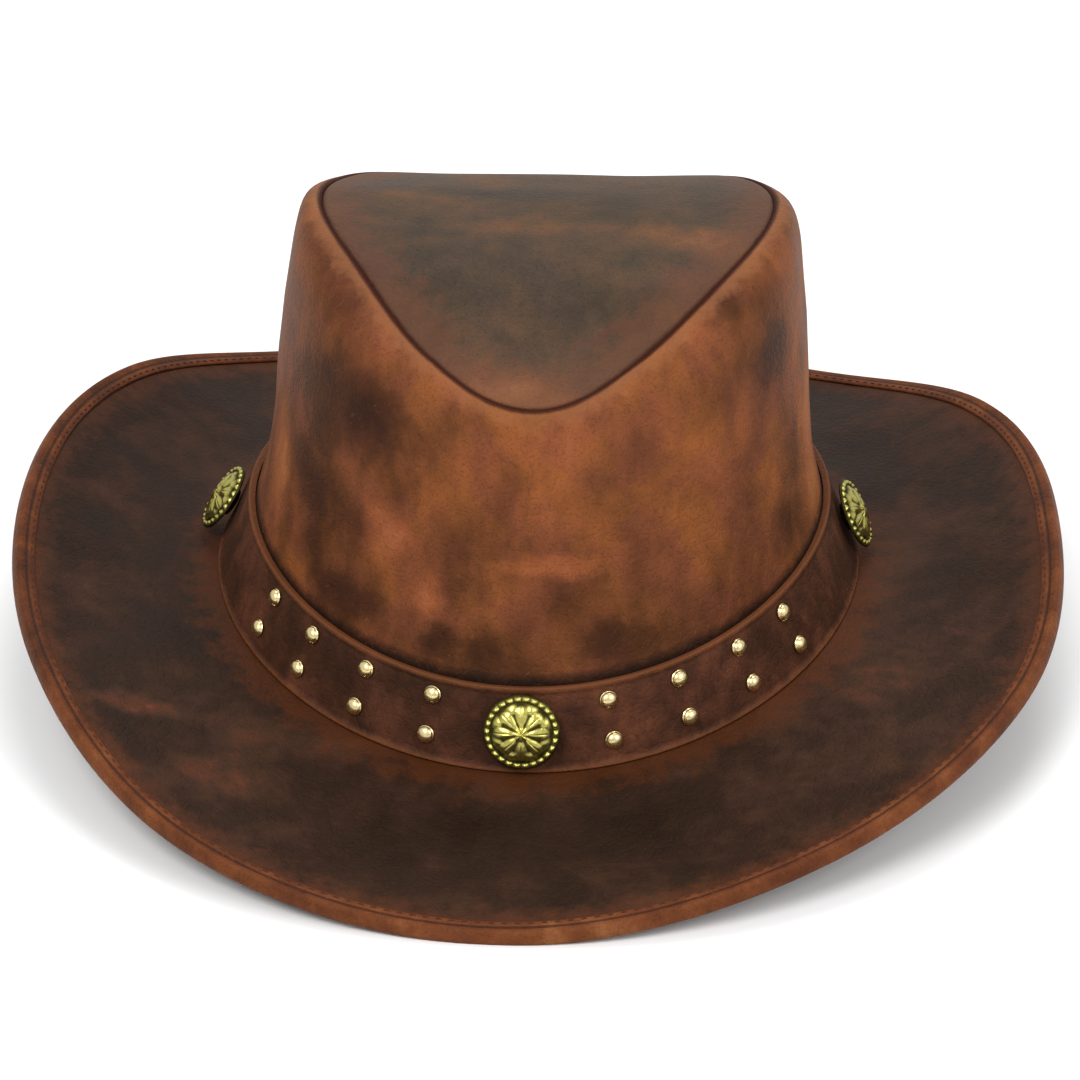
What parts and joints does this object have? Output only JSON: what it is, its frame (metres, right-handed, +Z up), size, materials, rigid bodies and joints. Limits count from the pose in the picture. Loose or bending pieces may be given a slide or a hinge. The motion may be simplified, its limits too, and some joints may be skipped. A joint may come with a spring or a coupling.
{
  "type": "leather western hat",
  "caption": "Brown leather hat with a sloping, dented crown, a brim curled up at the sides and a studded leather band with round metal conchos.",
  "frame": {"origin": "on the ground under the middle of the hat, at the bottom centre of its box", "axes": "+Z up through the crown, +Y from the front of the hat to its back, +X to the right of someone who looks at its front"},
  "size_m": [0.3163, 0.36, 0.1392],
  "materials": {
    "rust_leather": "waxed, distressed rust brown, satin",
    "dark_top_leather": "waxed, distressed grey brown, satin",
    "brim_leather": "waxed, distressed dark brown, satin",
    "binding_leather": "rubbed red brown, satin",
    "band_leather": "dark maroon brown, satin",
    "antique_brass": "antique cast brass with dark recesses",
    "pale_brass": "polished domes"
  },
  "bodies": {
    "root": {"crown_wall": "rust_leather", "crown_top": "dark_top_leather", "brim": "brim_leather", "brim_binding": "binding_leather", "hat_band": "band_leather", "concho_front": "antique_brass", "concho_right": "antique_brass", "concho_left": "antique_brass", "stud_right_upper_1": "pale_brass", "stud_right_upper_2": "pale_brass", "stud_right_upper_3": "pale_brass", "stud_right_upper_4": "pale_brass", "stud_right_lower_1": "pale_brass", "stud_right_lower_2": "pale_brass", "stud_right_lower_3": "pale_brass", "stud_right_lower_4": "pale_brass", "stud_left_upper_1": "pale_brass", "stud_left_upper_2": "pale_brass", "stud_left_upper_3": "pale_brass", "stud_left_upper_4": "pale_brass", "stud_left_lower_1": "pale_brass", "stud_left_lower_2": "pale_brass", "stud_left_lower_3": "pale_brass", "stud_left_lower_4": "pale_brass"}
  },
  "joints": []
}
